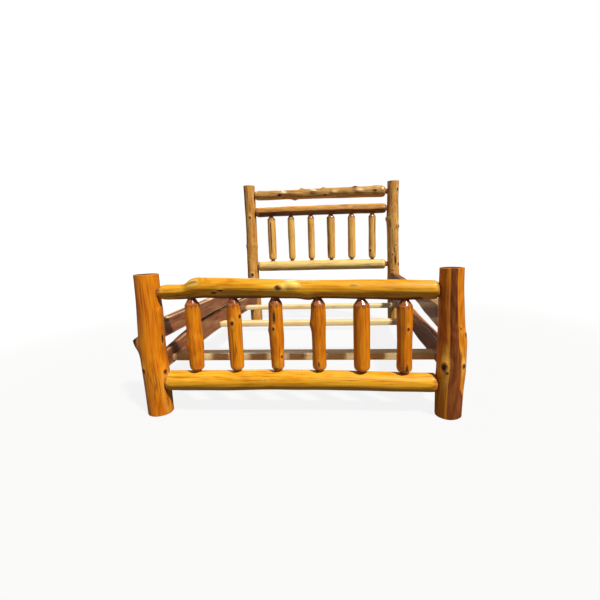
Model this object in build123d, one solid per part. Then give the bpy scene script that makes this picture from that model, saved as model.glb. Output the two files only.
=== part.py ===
from build123d import *
import math
import os
from dataclasses import dataclass
from functools import cached_property

# Rustic log bed for a queen mattress: two ends of peeled cedar logs, each a pair of posts
# joined by cross rails with a row of spindles tenoned between them, and four live-edge side
# rails that are let into the posts, held by hanger bolts and joined across by three slats.
# Millimetres. Origin on the floor under the middle of the bed, +X to the right seen from the
# foot, +Y towards the headboard, +Z up.

# Driving dimensions of the lying space.
MATTRESS_WIDTH = 1524.0
MATTRESS_LENGTH = 2032.0
MATTRESS_SIDE_GAP = 13.0
MATTRESS_END_GAP = 7.0

# Posts.
POST_DIAMETER = 145.0
POST_OUTSET = 30.0
FOOT_POST_HEIGHT = 795.0
HEAD_POST_HEIGHT = 1585.0
POST_EASED_EDGE = 7.0
STUB_HEIGHT = 398.0
STUB_ROOT_DIAMETER = 66.0
STUB_TIP_DIAMETER = 30.0
STUB_REACH = 36.0
STUB_TAPER = 54.0
STUB_LIFT = 14.0

# Cross rails: how far each rail's axis lies below its posts' tops, or above the floor, at the
# left and the right post.
FOOT_TOP_RAIL_DROPS = (105.0, 118.0)
FOOT_BOTTOM_RAIL_HEIGHTS = (188.0, 177.0)
HEAD_TOP_RAIL_DROPS = (110.0, 114.0)
HEAD_MIDDLE_RAIL_DROPS = (293.0, 294.0)
HEAD_LOWER_RAIL_HEIGHTS = (677.0, 672.0)
RAIL_DIAMETER = 106.0
RAIL_TENON_DIAMETER = 54.0
RAIL_TENON_LENGTH = 60.0
RAIL_SHOULDER = 34.0

# Spindles.
SPINDLE_COUNT = 6
SPINDLE_DIAMETER = 80.0
SPINDLE_TENON_DIAMETER = 40.0
SPINDLE_TENON_LENGTH = 42.0
SPINDLE_SHOULDER = 42.0
SPINDLE_TURN = 47.0  # degrees from one spindle's grain to the next one's

# Side rails, sawn flat on the inner face.
UPPER_LEFT_DIAMETER = 117.0
UPPER_LEFT_HEIGHT = 471.0
UPPER_LEFT_SAWN_TOP = 522.0
UPPER_RIGHT_DIAMETER = 140.0
UPPER_RIGHT_HEIGHT = 506.0
LOWER_LEFT_DIAMETER = 140.0
LOWER_LEFT_HEIGHT = 296.0
LOWER_LEFT_BOW = 22.0
LOWER_RIGHT_DIAMETER = 146.0
LOWER_RIGHT_HEIGHT = 306.0
SIDE_RAIL_AXIS_OUTSET = 26.0
SEAT_DEPTH = 20.0
SEAT_CLEARANCE = 1.0

# Slats, let into the lower side rails.
SLAT_WIDTH = 89.0
SLAT_THICKNESS = 38.0
SLAT_TOP_HEIGHT = 292.0
SLAT_EASED_EDGE = 4.0
SLAT_LET_IN = 20.0
SLAT_CLEARANCE = 1.5
FOOT_SLAT_INSET = 88.0
MIDDLE_SLAT_OFFSET = -82.0
HEAD_SLAT_INSET = 349.0

# Hanger bolts and flange nuts that draw the side rails into the posts.
BOLT_DIAMETER = 12.0
BOLT_IN_POST = 75.0
BOLT_PAST_NUT = 4.0
BOLT_BORE_CLEARANCE = 1.0
NUT_ACROSS_FLATS = 19.0
NUT_HEIGHT = 14.0
NUT_FLANGE_DIAMETER = 28.0
NUT_FLANGE_THICKNESS = 4.0
POCKET_INSET = 40.0
POCKET_LENGTH = 36.0
POCKET_WIDTH = 34.0

# Fits, and how many long flats the drawknife leaves round a log.
GLUE_GAP = 0.25
THREAD_GAP = 0.05
FLATS = 16

# Places worked out from the driving dimensions.
FACE_X = MATTRESS_WIDTH / 2 + MATTRESS_SIDE_GAP
POST_X = FACE_X + POST_OUTSET
POST_Y = MATTRESS_LENGTH / 2 + MATTRESS_END_GAP + POST_DIAMETER / 2
RAIL_TIP_X = POST_X - POST_DIAMETER / 2 + RAIL_TENON_LENGTH
SEAT_Y = POST_Y - POST_DIAMETER / 2 + SEAT_DEPTH
SPINDLE_PITCH = 2 * POST_X / (SPINDLE_COUNT + 1)
UP = Vector(0, 0, 1)


def below(height, drops):
    """Heights at the left and the right post that lie below a given height."""
    return tuple(height - drop for drop in drops)


def between(values, share):
    """Value at a share, 0 to 1, of the way along evenly spaced station values."""
    place = share * (len(values) - 1)
    index = min(int(place), len(values) - 2)
    return values[index] + (values[index + 1] - values[index]) * (place - index)


@dataclass(frozen=True)
class Log:
    """A peeled log that runs along +Z, with its shape in shares of its own diameter.

    swell is the diameter at evenly spaced stations, drift_x and drift_y are how far the
    pith wanders there, oval and turn say how out of round it is and which way.
    """

    diameter: float
    swell: tuple
    drift_x: tuple = (0.0, 0.0)
    drift_y: tuple = (0.0, 0.0)
    oval: float = 0.02
    turn: float = 0.0

    def centre(self, share):
        """Where the pith is at a share of the length."""
        drift = Vector(between(self.drift_x, share), between(self.drift_y, share))
        return drift * self.diameter

    def shape(self, angle):
        """How far out of round the log is at an angle in radians, 1 where it isn't."""
        lean = angle - math.radians(self.turn)
        return 1 + self.oval * math.cos(2 * lean) + self.oval / 2 * math.sin(3 * lean)

    def radius(self, share, angle):
        """Distance from the pith to the surface, at an angle in radians."""
        return self.diameter / 2 * between(self.swell, share) * self.shape(angle)


@dataclass(frozen=True)
class Tenon:
    """A tenon, as nearly round as its log, and the shoulder that swells to the log.

    dome is how full the shoulder is at a third of its length, 1/3 for a straight cone.
    """

    diameter: float
    length: float
    shoulder: float
    dome: float


RAIL_TENON = Tenon(RAIL_TENON_DIAMETER, RAIL_TENON_LENGTH, RAIL_SHOULDER, 0.62)
SPINDLE_TENON = Tenon(SPINDLE_TENON_DIAMETER, SPINDLE_TENON_LENGTH, SPINDLE_SHOULDER, 0.36)


def ring(radius, height, shape=lambda angle: 1.0, centre=Vector()):
    """Corners of the flats round a centre, at a height along the local axis."""
    corners = []
    for index in range(FLATS):
        angle = 2 * math.pi * index / FLATS
        reach = radius * shape(angle)
        corners.append(centre + Vector(reach * math.cos(angle), reach * math.sin(angle), height))
    return corners


def hewn(rings):
    """Closed solid with a flat between every two neighbouring corners of two rings."""
    faces = [Face(Wire.make_polygon(rings[0])), Face(Wire.make_polygon(rings[-1]))]
    for low, high in zip(rings, rings[1:]):
        for index in range(FLATS):
            following = (index + 1) % FLATS
            corners = [low[index], low[following], high[following], high[index]]
            faces.append(Face(Wire.make_polygon(corners)))
    return Solid(Shell(faces))


def log_rings(log, low, high):
    """The rings of a log's own body between two heights."""
    steps = len(log.swell) - 1
    rings = []
    for index in range(steps + 1):
        share = index / steps
        radius = log.diameter / 2 * between(log.swell, share)
        rings.append(ring(radius, low + (high - low) * share, log.shape, log.centre(share)))
    return rings


def tenon_rings(log, tenon, length, end, grow=0.0):
    """Rings from the tip to just short of the log's body, at its start (0) or its end (-1)."""
    core = tenon.diameter / 2
    full = log.diameter / 2 * log.swell[end]
    forms = [
        (0.0, core),
        (tenon.length, core),
        (tenon.length + tenon.shoulder / 3, core + (full - core) * tenon.dome),
        (tenon.length + tenon.shoulder, full),
    ]
    rings = []
    for from_tip, radius in forms:
        height = length - from_tip if end else from_tip
        rings.append(ring(radius + grow, height, log.shape))
    return rings


def tenoned_log(log, tenon, length):
    """A log with a tenon at both ends; length is from tip to tip."""
    root = tenon.length + tenon.shoulder
    start = tenon_rings(log, tenon, length, 0)[:-1]
    stop = tenon_rings(log, tenon, length, -1)[:-1]
    return hewn(start + log_rings(log, root, length - root) + stop[::-1])


def post(log, height):
    """A post with eased top and bottom edges."""
    ease = POST_EASED_EDGE
    body = log_rings(log, ease, height - ease)
    radii = [log.diameter / 2 * log.swell[end] - ease for end in (0, -1)]
    foot = ring(radii[0], 0.0, log.shape, log.centre(0))
    crown = ring(radii[1], height, log.shape, log.centre(1))
    return hewn([foot, *body, crown])


def one_solid(shape):
    """The largest solid of a result, which is the piece itself."""
    return max(shape.solids(), key=lambda solid: solid.volume)


def block(low, high):
    """Box between two corners."""
    size = [b - a for a, b in zip(low, high)]
    middle = [(a + b) / 2 for a, b in zip(low, high)]
    return Pos(*middle) * Box(*size)


@dataclass(frozen=True)
class CrossRail:
    """A rail across one end of the bed, tenoned into its two posts."""

    name: str
    log: Log
    heights: tuple
    end_y: float

    @property
    def start(self):
        return Vector(-RAIL_TIP_X, self.end_y, self.heights[0])

    @property
    def stop(self):
        return Vector(RAIL_TIP_X, self.end_y, self.heights[1])

    @property
    def length(self):
        return (self.stop - self.start).length

    def place(self, local):
        """Move a shape from the log's frame, with its +X up, to the rail."""
        frame = Plane(origin=self.start, x_dir=UP, z_dir=self.stop - self.start)
        return frame.location * local

    def solid(self):
        return self.place(tenoned_log(self.log, RAIL_TENON, self.length))

    def socket(self, end):
        """What its left (0) or right (-1) tenon cuts from a post."""
        return self.place(hewn(tenon_rings(self.log, RAIL_TENON, self.length, end, GLUE_GAP)))

    def surface(self, x, side):
        """Height of the rail's top (side 1) or underside (side -1) at x."""
        root = RAIL_TENON.length + RAIL_TENON.shoulder
        share = (x + RAIL_TIP_X - root) / (2 * (RAIL_TIP_X - root))
        axis = between(self.heights, (x + RAIL_TIP_X) / (2 * RAIL_TIP_X))
        angle = 0.0 if side > 0 else math.pi
        return axis + self.log.centre(share).X + side * self.log.radius(share, angle)


@dataclass(frozen=True)
class Spindle:
    """An upright log tenoned between two cross rails."""

    name: str
    log: Log
    x: float
    below: CrossRail
    above: CrossRail

    @property
    def low(self):
        return self.below.surface(self.x, 1) - SPINDLE_TENON.length

    @property
    def high(self):
        return self.above.surface(self.x, -1) + SPINDLE_TENON.length

    def place(self, local):
        return Pos(self.x, self.below.end_y, self.low) * local

    def solid(self):
        return self.place(tenoned_log(self.log, SPINDLE_TENON, self.high - self.low))

    def socket(self, end):
        """What its lower (0) or upper (-1) tenon cuts from a rail."""
        length = self.high - self.low
        return self.place(hewn(tenon_rings(self.log, SPINDLE_TENON, length, end, GLUE_GAP)))


@dataclass(frozen=True)
class SideRail:
    """A log along one side of the bed, sawn flat on its inner face and let into the posts."""

    name: str
    log: Log
    side: int
    height: float
    sawn_top: float = 0.0
    bow: float = 0.0

    def place(self, local):
        start = Vector(self.side * (FACE_X + SIDE_RAIL_AXIS_OUTSET), -SEAT_Y, self.height)
        return Plane(origin=start, x_dir=UP, z_dir=(0, 1, 0)).location * local

    def face_x(self, y):
        """Where the sawn inner face is at y."""
        return self.side * (FACE_X + self.bow * (1 - (y / SEAT_Y) ** 2))

    @cached_property
    def blank(self):
        """The log as it leaves the saw, before it is bored, pocketed or housed."""
        rail = self.place(hewn(log_rings(self.log, 0.0, 2 * SEAT_Y))).cut(self.waste())
        if self.sawn_top:
            reach = 2 * self.log.diameter
            x = self.side * FACE_X
            top = self.sawn_top
            rail = rail.cut(block((x - reach, -SEAT_Y, top), (x + reach, SEAT_Y, top + reach)))
        return one_solid(rail)

    @cached_property
    def end_spans(self):
        """Lowest and highest point of the stretch let into the foot and the head post."""
        spans = {}
        reach = 2 * self.log.diameter
        x = self.side * FACE_X
        for end in (-1, 1):
            low, high = sorted((end * SEAT_Y, end * (SEAT_Y - POST_DIAMETER / 2)))
            stretch = self.blank & block((x - reach, low, 0.0), (x + reach, high, 2 * self.height))
            box = stretch.bounding_box()
            spans[end] = (box.min.Z, box.max.Z)
        return spans

    def waste(self):
        """What the saw takes off the inner face: flat, or bowed with the log."""
        ends = [Vector(self.face_x(end * SEAT_Y), end * SEAT_Y, 0) for end in (-1, 1)]
        middle = Vector(self.face_x(0.0), 0.0, 0)
        inward = Vector(-self.side * 2 * self.log.diameter, 0, 0)
        cut = Edge.make_line(*ends)
        if self.bow:
            cut = Edge.make_three_point_arc(ends[0], middle, ends[1])
        rest = Wire.make_polygon([ends[1], ends[1] + inward, ends[0] + inward, ends[0]], close=False)
        plan = Face(Wire([cut, *rest.edges()]))
        return Solid.extrude(plan, UP * 3 * self.height)

    def bolt_height(self, end):
        return sum(self.end_spans[end]) / 2

    def pocket(self, end):
        """Opening in the underside where a spanner reaches the nut."""
        near = SEAT_Y - POCKET_INSET
        far = near - POCKET_LENGTH
        low, high = sorted((end * near, end * far))
        half = POCKET_WIDTH / 2
        top = self.bolt_height(end) + half
        bottom = self.end_spans[end][0] - self.log.diameter
        x = self.side * POST_X
        return block((x - half, low, bottom), (x + half, high, top))

    def solid(self, slats):
        cuts = [self.pocket(end) for end in (-1, 1)]
        cuts += [bolt_bore(self, end) for end in (-1, 1)]
        cuts += [slat.housing(self) for slat in slats]
        return one_solid(self.blank.cut(*cuts))

    def seat(self, end):
        """What the rail's end cuts from its post: a square notch, open to the outside."""
        low, high = self.end_spans[end]
        inner = self.side * (FACE_X - SEAT_CLEARANCE)
        outer = self.side * (POST_X + POST_DIAMETER)
        x_low, x_high = sorted((inner, outer))
        y_low, y_high = sorted((end * SEAT_Y, end * (SEAT_Y - POST_DIAMETER)))
        gap = SEAT_CLEARANCE
        return block((x_low, y_low, low - gap), (x_high, y_high, high + gap))


def along_y(local, rail, end, from_seat):
    """Place a fastener, drawn along +Z from a point that far into the rail, facing the post."""
    start = Vector(rail.side * POST_X, end * (SEAT_Y - from_seat), rail.bolt_height(end))
    return Plane(origin=start, x_dir=UP, z_dir=(0, end, 0)).location * local


def rod(radius, low, high):
    return hewn([ring(radius, low), ring(radius, high)])


BOLT_IN_RAIL = POCKET_INSET + NUT_HEIGHT + BOLT_PAST_NUT


def hanger_bolt(rail, end):
    """Bolt from the bottom of the post's pilot hole to just past the nut."""
    return along_y(rod(BOLT_DIAMETER / 2, 0, BOLT_IN_RAIL + BOLT_IN_POST), rail, end, BOLT_IN_RAIL)


def pilot_hole(rail, end):
    """Blind hole in the post that the hanger bolt screws into, down to its tip."""
    hole = rod(BOLT_DIAMETER / 2 + THREAD_GAP, 0, BOLT_IN_POST)
    return along_y(hole, rail, end, 0)


def bolt_bore(rail, end):
    """Bore through the rail's end to its pocket."""
    depth = POCKET_INSET + POCKET_LENGTH / 2
    bore = rod(BOLT_DIAMETER / 2 + BOLT_BORE_CLEARANCE, 0, depth)
    return along_y(bore, rail, end, depth)


def flange_nut(rail, end):
    """Hexagon nut with its own flange, drawn against the pocket's end wall."""
    hexagon = RegularPolygon(NUT_ACROSS_FLATS / 2, 6, major_radius=False)
    body = extrude(hexagon, NUT_HEIGHT)
    flange = rod(NUT_FLANGE_DIAMETER / 2, NUT_HEIGHT - NUT_FLANGE_THICKNESS, NUT_HEIGHT)
    hole = rod(BOLT_DIAMETER / 2 + THREAD_GAP, 0, NUT_HEIGHT)
    nut = one_solid((body + flange) - hole)
    return along_y(nut, rail, end, POCKET_INSET + NUT_HEIGHT)


@dataclass(frozen=True)
class Slat:
    """A board across the bed, let into a housing in each lower side rail."""

    name: str
    y: float

    def span(self, gap):
        """Lowest and highest y and z of the board, with a gap left round it."""
        low = SLAT_TOP_HEIGHT - SLAT_THICKNESS
        return self.y - SLAT_WIDTH / 2 - gap, self.y + SLAT_WIDTH / 2 + gap, low, SLAT_TOP_HEIGHT + gap

    def end_x(self, rail):
        return rail.face_x(self.y) + rail.side * SLAT_LET_IN

    def housing(self, rail):
        """Slot in the rail's face; the board rests on its floor."""
        y_low, y_high, z_low, z_high = self.span(SLAT_CLEARANCE)
        tip = self.end_x(rail) + rail.side * SLAT_CLEARANCE
        mouth = rail.side * (FACE_X - SLAT_WIDTH)
        x_low, x_high = sorted((tip, mouth))
        return block((x_low, y_low, z_low), (x_high, y_high, z_high))

    def solid(self, left, right):
        y_low, y_high, z_low, z_high = self.span(0.0)
        board = block((self.end_x(left), y_low, z_low), (self.end_x(right), y_high, z_high))
        return board.chamfer(SLAT_EASED_EDGE, None, board.edges().filter_by(Axis.X))


def branch_stub(post_x, post_y):
    """Short sawn branch on the outer side of a post, rising as it leaves the trunk."""
    out = -1 if post_x < 0 else 1
    reach = POST_DIAMETER / 2 + STUB_REACH
    root = Vector(post_x, post_y, STUB_HEIGHT - STUB_LIFT)
    tip = Vector(post_x + out * reach, post_y, STUB_HEIGHT + STUB_LIFT)
    length = (tip - root).length
    stub = hewn(
        [
            ring(STUB_ROOT_DIAMETER / 2, 0.0),
            ring(STUB_ROOT_DIAMETER / 2, length - STUB_TAPER),
            ring(STUB_TIP_DIAMETER / 2, length),
        ]
    )
    return Plane(origin=root, x_dir=UP, z_dir=tip - root).location * stub


FOOT_POST_LOGS = {
    "left": Log(
        POST_DIAMETER,
        swell=(1.12, 1.14, 1.13, 1.09, 1.06, 1.03, 1.01),
        drift_x=(0.017, 0.007, -0.012, -0.005, 0.025, 0.007, -0.007),
        oval=0.015,
        turn=20,
    ),
    "right": Log(
        POST_DIAMETER,
        swell=(1.02, 1.04, 1.08, 1.17, 1.06, 0.97, 0.92),
        drift_x=(0.0, 0.012, 0.025, 0.025, 0.005, -0.017, -0.017),
        oval=0.02,
        turn=70,
    ),
}
HEAD_POST_LOGS = {
    "left": Log(
        POST_DIAMETER,
        swell=(1.02, 1.03, 1.02, 1.0, 0.98, 0.97, 0.94, 0.92, 0.9),
        drift_x=(0.0, 0.0, -0.02, -0.05, -0.045, -0.02, 0.0, -0.005, -0.02),
        oval=0.02,
        turn=10,
    ),
    "right": Log(
        POST_DIAMETER,
        swell=(0.92, 0.97, 1.01, 1.0, 0.95, 0.93, 0.97, 0.87, 0.9),
        drift_x=(0.03, 0.02, 0.0, 0.01, -0.03, -0.05, -0.07, -0.06, -0.03),
        oval=0.02,
        turn=110,
    ),
}

FOOT_TOP_RAIL = CrossRail(
    "foot_top_rail",
    Log(
        RAIL_DIAMETER,
        swell=(0.77, 1.06, 1.0, 0.96, 0.93, 0.95, 0.97, 0.94),
        drift_x=(0.0, 0.19, 0.16, 0.12, 0.09, 0.06, 0.03, 0.0),
        oval=0.02,
        turn=30,
    ),
    below(FOOT_POST_HEIGHT, FOOT_TOP_RAIL_DROPS),
    -POST_Y,
)
FOOT_BOTTOM_RAIL = CrossRail(
    "foot_bottom_rail",
    Log(
        RAIL_DIAMETER,
        swell=(1.06, 1.07, 1.04, 1.03, 1.0, 0.98),
        drift_x=(0.0, 0.03, 0.08, 0.08, 0.03, 0.0),
        oval=0.02,
        turn=60,
    ),
    FOOT_BOTTOM_RAIL_HEIGHTS,
    -POST_Y,
)
HEAD_TOP_RAIL = CrossRail(
    "head_top_rail",
    Log(
        RAIL_DIAMETER,
        swell=(0.96, 1.0, 1.06, 1.02, 1.08, 1.12, 1.1),
        drift_x=(0.0, 0.01, -0.02, 0.02, 0.0, 0.02, 0.0),
        oval=0.03,
        turn=15,
    ),
    below(HEAD_POST_HEIGHT, HEAD_TOP_RAIL_DROPS),
    POST_Y,
)
HEAD_MIDDLE_RAIL = CrossRail(
    "head_middle_rail",
    Log(
        RAIL_DIAMETER,
        swell=(1.06, 1.04, 1.02, 1.02, 1.0, 0.99),
        drift_x=(0.0, 0.02, 0.03, 0.02, 0.01, 0.0),
        oval=0.025,
        turn=45,
    ),
    below(HEAD_POST_HEIGHT, HEAD_MIDDLE_RAIL_DROPS),
    POST_Y,
)
HEAD_LOWER_RAIL = CrossRail(
    "head_lower_rail",
    Log(
        RAIL_DIAMETER,
        swell=(1.12, 1.13, 1.12, 1.11, 1.1, 1.08),
        drift_x=(0.0, 0.01, 0.02, 0.02, 0.01, 0.0),
        oval=0.015,
        turn=80,
    ),
    HEAD_LOWER_RAIL_HEIGHTS,
    POST_Y,
)
CROSS_RAILS = (FOOT_TOP_RAIL, FOOT_BOTTOM_RAIL, HEAD_TOP_RAIL, HEAD_MIDDLE_RAIL, HEAD_LOWER_RAIL)

@dataclass(frozen=True)
class Growth:
    """How a spindle grew: how far it stands off the even spacing, in pitches, and its girths."""

    offset: float
    girths: tuple


FOOT_SPINDLE_GROWTH = (
    Growth(0.048, (0.98, 1.06, 1.22, 1.04, 0.98, 0.96)),
    Growth(0.039, (0.94, 0.94, 0.95, 0.96, 0.95, 0.94)),
    Growth(0.026, (0.92, 0.93, 1.03, 1.0, 0.97, 0.95)),
    Growth(0.017, (0.98, 0.95, 0.93, 0.96, 1.06, 0.97)),
    Growth(0.009, (1.1, 1.1, 1.08, 1.08, 1.09, 1.07)),
    Growth(-0.017, (1.05, 1.03, 1.02, 1.04, 1.07, 1.05)),
)
HEAD_SPINDLE_GROWTH = (
    Growth(0.0, (1.07, 1.1, 1.12, 1.13, 1.1, 1.08)),
    Growth(-0.013, (0.94, 0.93, 0.93, 0.99, 0.97, 0.95)),
    Growth(-0.03, (0.97, 0.97, 0.97, 0.96, 0.96, 0.95)),
    Growth(-0.043, (1.14, 1.15, 1.11, 1.14, 1.16, 1.15)),
    Growth(-0.035, (1.06, 1.06, 1.04, 1.03, 1.03, 1.02)),
    Growth(-0.03, (1.03, 1.04, 1.02, 0.99, 1.0, 1.03)),
)


def spindle_row(end_name, growths, lower, upper):
    """The spindles between two rails, evenly spaced but for each one's own offset."""
    row = []
    for index in range(SPINDLE_COUNT):
        growth = growths[index % len(growths)]
        x = (index - (SPINDLE_COUNT - 1) / 2 + growth.offset) * SPINDLE_PITCH
        log = Log(SPINDLE_DIAMETER, swell=growth.girths, oval=0.02, turn=SPINDLE_TURN * index)
        row.append(Spindle(f"{end_name}_spindle_{index + 1}", log, x, lower, upper))
    return row


SPINDLES = spindle_row("foot", FOOT_SPINDLE_GROWTH, FOOT_BOTTOM_RAIL, FOOT_TOP_RAIL)
SPINDLES += spindle_row("head", HEAD_SPINDLE_GROWTH, HEAD_LOWER_RAIL, HEAD_MIDDLE_RAIL)

SIDE_RAILS = (
    SideRail(
        "side_rail_upper_left",
        Log(UPPER_LEFT_DIAMETER, swell=(0.99, 1.0, 1.01, 1.0, 0.99), oval=0.01),
        -1,
        UPPER_LEFT_HEIGHT,
        sawn_top=UPPER_LEFT_SAWN_TOP,
    ),
    SideRail(
        "side_rail_upper_right",
        Log(
            UPPER_RIGHT_DIAMETER,
            swell=(1.0, 0.9, 0.71, 0.67, 0.66, 0.65, 0.65),
            drift_x=(0.0, 0.07, 0.19, 0.22, 0.22, 0.22, 0.22),
            oval=0.01,
        ),
        1,
        UPPER_RIGHT_HEIGHT,
    ),
    SideRail(
        "side_rail_lower_left",
        Log(
            LOWER_LEFT_DIAMETER,
            swell=(0.78, 0.95, 1.1, 1.12, 1.07, 1.01, 1.0),
            drift_x=(-0.06, 0.06, 0.15, 0.16, 0.1, 0.03, 0.0),
            drift_y=(0.0, -0.09, -0.14, -0.157, -0.14, -0.09, 0.0),
            oval=0.015,
        ),
        -1,
        LOWER_LEFT_HEIGHT,
        bow=LOWER_LEFT_BOW,
    ),
    SideRail(
        "side_rail_lower_right",
        Log(LOWER_RIGHT_DIAMETER, swell=(1.0, 1.01, 1.02, 1.01, 1.0), oval=0.01),
        1,
        LOWER_RIGHT_HEIGHT,
    ),
)

SLATS = (
    Slat("slat_foot", -SEAT_Y + FOOT_SLAT_INSET + SLAT_WIDTH / 2),
    Slat("slat_middle", MIDDLE_SLAT_OFFSET),
    Slat("slat_head", SEAT_Y - HEAD_SLAT_INSET - SLAT_WIDTH / 2),
)


def build_posts():
    """The four posts, cut for the cross rails' tenons, the side rails' ends and the bolts."""
    built = {}
    sides = {"left": -1, "right": 1}
    ends = {
        "foot": (-1, FOOT_POST_LOGS, FOOT_POST_HEIGHT),
        "head": (1, HEAD_POST_LOGS, HEAD_POST_HEIGHT),
    }
    for end_name, (end, logs, height) in ends.items():
        for side_name, side in sides.items():
            trunk_solid = Pos(side * POST_X, end * POST_Y, 0) * post(logs[side_name], height)
            if (end_name, side_name) == ("foot", "left"):
                trunk_solid = trunk_solid.fuse(branch_stub(side * POST_X, end * POST_Y))
            rails = [rail for rail in CROSS_RAILS if rail.end_y * end > 0]
            cuts = [rail.socket(0 if side < 0 else -1) for rail in rails]
            for rail in SIDE_RAILS:
                if rail.side == side:
                    cuts += [rail.seat(end), pilot_hole(rail, end)]
            built[f"{end_name}_post_{side_name}"] = one_solid(trunk_solid.cut(*cuts))
    return built


def build_cross_rails():
    """The five cross rails, mortised for their spindles."""
    built = {}
    for rail in CROSS_RAILS:
        cuts = [spindle.socket(0) for spindle in SPINDLES if spindle.below is rail]
        cuts += [spindle.socket(-1) for spindle in SPINDLES if spindle.above is rail]
        solid = rail.solid()
        built[rail.name] = one_solid(solid.cut(*cuts)) if cuts else solid
    return built


def build_side_frame():
    """Side rails, slats, hanger bolts and nuts."""
    built = {rail.name: rail.solid(SLATS if "lower" in rail.name else ()) for rail in SIDE_RAILS}
    left, right = [rail for rail in SIDE_RAILS if "lower" in rail.name]
    built |= {slat.name: slat.solid(left, right) for slat in SLATS}
    joints = [(rail, end) for rail in SIDE_RAILS for end in (-1, 1)]
    built["side_rail_bolts"] = Compound([hanger_bolt(rail, end) for rail, end in joints])
    built["side_rail_nuts"] = Compound([flange_nut(rail, end) for rail, end in joints])
    return built


def main():
    os.makedirs("parts", exist_ok=True)
    pieces = build_posts() | build_cross_rails() | build_side_frame()
    pieces |= {spindle.name: spindle.solid() for spindle in SPINDLES}
    for name, piece in pieces.items():
        export_step(piece, f"parts/{name}.step")


main()
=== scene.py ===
"""Rustic log bed, dressed in peeled and varnished cedar."""

import logging
import math
from dataclasses import dataclass, replace
from enum import Enum
from functools import partialmethod

import bmesh
import bpy
from mathutils import Matrix, Vector, noise


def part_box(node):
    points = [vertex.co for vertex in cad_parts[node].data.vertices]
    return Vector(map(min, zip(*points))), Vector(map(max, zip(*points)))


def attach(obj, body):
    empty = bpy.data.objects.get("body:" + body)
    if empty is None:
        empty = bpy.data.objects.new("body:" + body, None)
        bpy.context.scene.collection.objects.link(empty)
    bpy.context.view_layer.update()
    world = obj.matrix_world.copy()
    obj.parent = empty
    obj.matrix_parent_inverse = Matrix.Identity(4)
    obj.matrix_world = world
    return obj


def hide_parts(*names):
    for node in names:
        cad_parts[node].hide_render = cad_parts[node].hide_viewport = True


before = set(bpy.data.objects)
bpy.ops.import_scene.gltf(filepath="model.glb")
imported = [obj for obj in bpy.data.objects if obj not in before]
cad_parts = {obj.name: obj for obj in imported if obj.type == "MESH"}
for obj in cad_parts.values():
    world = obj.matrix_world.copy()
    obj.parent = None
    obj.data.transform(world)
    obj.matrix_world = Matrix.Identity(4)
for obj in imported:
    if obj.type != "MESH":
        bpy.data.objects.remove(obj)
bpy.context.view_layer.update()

log = logging.getLogger("log_bed")

Colour = tuple[float, float, float]
Pair = tuple[float, float]
Row = tuple[float, ...]
BMesh = bmesh.types.BMesh
RIGHT = Vector((1.0, 0.0, 0.0))
UP = Vector((0.0, 0.0, 1.0))
WHITE = (1.0, 1.0, 1.0, 1.0)

# Where the bed's parts stand, in metres, as in the CAD model.
POST_X = 0.805
POST_Y = 1.0955
RAIL_TIP_X = 0.7925
SEAT_Y = 1.043
SIDE_RAIL_X = 0.801
SAWN_DEPTH = 0.026
SPINDLE_TENON = 0.042
SIDES = {-1: "left", 1: "right"}

# What the girths of a log are shares of, and how far edges are rounded, in metres.
POST_DIAMETER = 0.145
RAIL_DIAMETER = 0.106
SPINDLE_DIAMETER = 0.080
RIM_RADIUS = 0.006
SLAT_RADIUS = 0.003


class Signal:
    """A shader socket that takes part in Python arithmetic."""

    def __init__(self, graph: "Graph", socket: bpy.types.NodeSocket) -> None:
        """Wrap an output socket of a graph."""
        self.graph = graph
        self.socket = socket

    def _maths(self, operation: str, *others: "Signal | float") -> "Signal":
        """Put this signal first into a Math node."""
        return self.graph.maths(operation, self, *others)

    def __rsub__(self, other: float) -> "Signal":
        """A number less this signal."""
        return self.graph.maths("SUBTRACT", other, self)

    __add__ = __radd__ = partialmethod(_maths, "ADD")
    __mul__ = __rmul__ = partialmethod(_maths, "MULTIPLY")
    __sub__ = partialmethod(_maths, "SUBTRACT")
    most = partialmethod(_maths, "MAXIMUM")
    sine = partialmethod(_maths, "SINE")
    size = partialmethod(_maths, "ABSOLUTE")

    def step(self, low: float, high: float) -> "Signal":
        """A smooth step.

        Args:
            low: Where the step is 0.
            high: Where it is 1, which may lie below the other.

        Returns:
            The step.
        """
        (first, start), (last, stop) = sorted([(low, 0.0), (high, 1.0)])
        ends = {"From Min": first, "From Max": last, "To Min": start, "To Max": stop}
        settings = {"interpolation_type": "SMOOTHSTEP", "clamp": True}
        return self.graph.node("ShaderNodeMapRange", settings, {"Value": self, **ends})


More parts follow.
